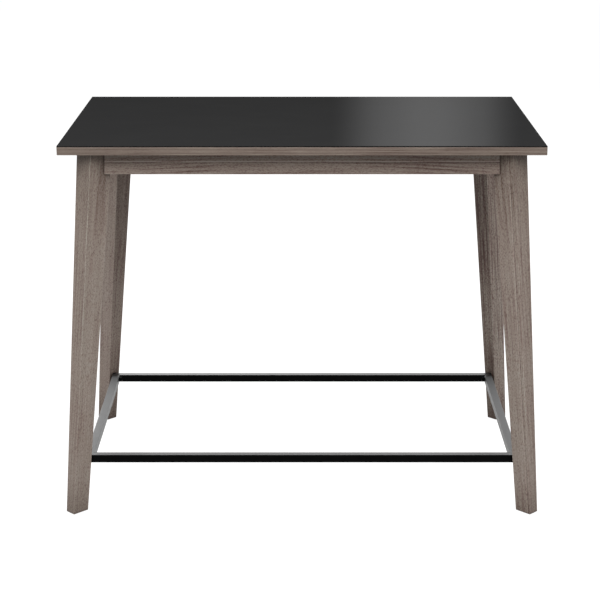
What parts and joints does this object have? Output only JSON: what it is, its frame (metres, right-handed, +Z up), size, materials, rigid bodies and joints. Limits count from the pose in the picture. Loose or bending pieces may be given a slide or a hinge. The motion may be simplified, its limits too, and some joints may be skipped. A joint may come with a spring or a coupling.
{
  "type": "pub table",
  "caption": "Bar-height table with a rectangular gloss black top, splayed tapered wood legs turned on the diagonal, aprons and a square-tube foot ring.",
  "frame": {"origin": "on the floor, under the middle of the top", "axes": "+X along the table's length, +Y from the front to the rear, +Z up"},
  "size_m": [1.3278, 0.8278, 1.05],
  "materials": {
    "gloss_black": "smooth black sheet, high gloss",
    "stained_wood": "grey-brown stained open-grain wood, satin lacquer",
    "core_board": "raw particle board",
    "backing_film": "dark matt backing laminate",
    "block_wood": "planed hardwood, unfinished",
    "black_steel": "black paint, semi-gloss",
    "zinc_steel": "zinc plated",
    "insert_brass": "plain brass",
    "black_nylon": "moulded nylon, fine texture"
  },
  "bodies": {
    "root": {"apron_brackets": "zinc_steel", "backing_sheet": "backing_film", "block_screws": "zinc_steel", "bracket_apron_screws": "zinc_steel", "bracket_top_screws": "zinc_steel", "corner_saddles": "black_steel", "front_apron": "stained_wood", "front_edge_band": "stained_wood", "front_foot_rail": "black_steel", "front_left_corner_block": "block_wood", "front_left_glide": "black_nylon", "front_left_leg": "stained_wood", "front_left_ring_connector": "black_nylon", "front_right_corner_block": "block_wood", "front_right_glide": "black_nylon", "front_right_leg": "stained_wood", "front_right_ring_connector": "black_nylon", "glide_screws": "zinc_steel", "hanger_bolts": "zinc_steel", "hanger_nuts": "zinc_steel", "hanger_washers": "zinc_steel", "left_apron": "stained_wood", "left_edge_band": "stained_wood", "left_foot_rail": "black_steel", "rear_apron": "stained_wood", "rear_edge_band": "stained_wood", "rear_foot_rail": "black_steel", "rear_left_corner_block": "block_wood", "rear_left_glide": "black_nylon", "rear_left_leg": "stained_wood", "rear_left_ring_connector": "black_nylon", "rear_right_corner_block": "block_wood", "rear_right_glide": "black_nylon", "rear_right_leg": "stained_wood", "rear_right_ring_connector": "black_nylon", "right_apron": "stained_wood", "right_edge_band": "stained_wood", "right_foot_rail": "black_steel", "ring_screws": "black_steel", "tabletop_core": "core_board", "threaded_inserts": "insert_brass", "top_sheet": "gloss_black"}
  },
  "joints": []
}
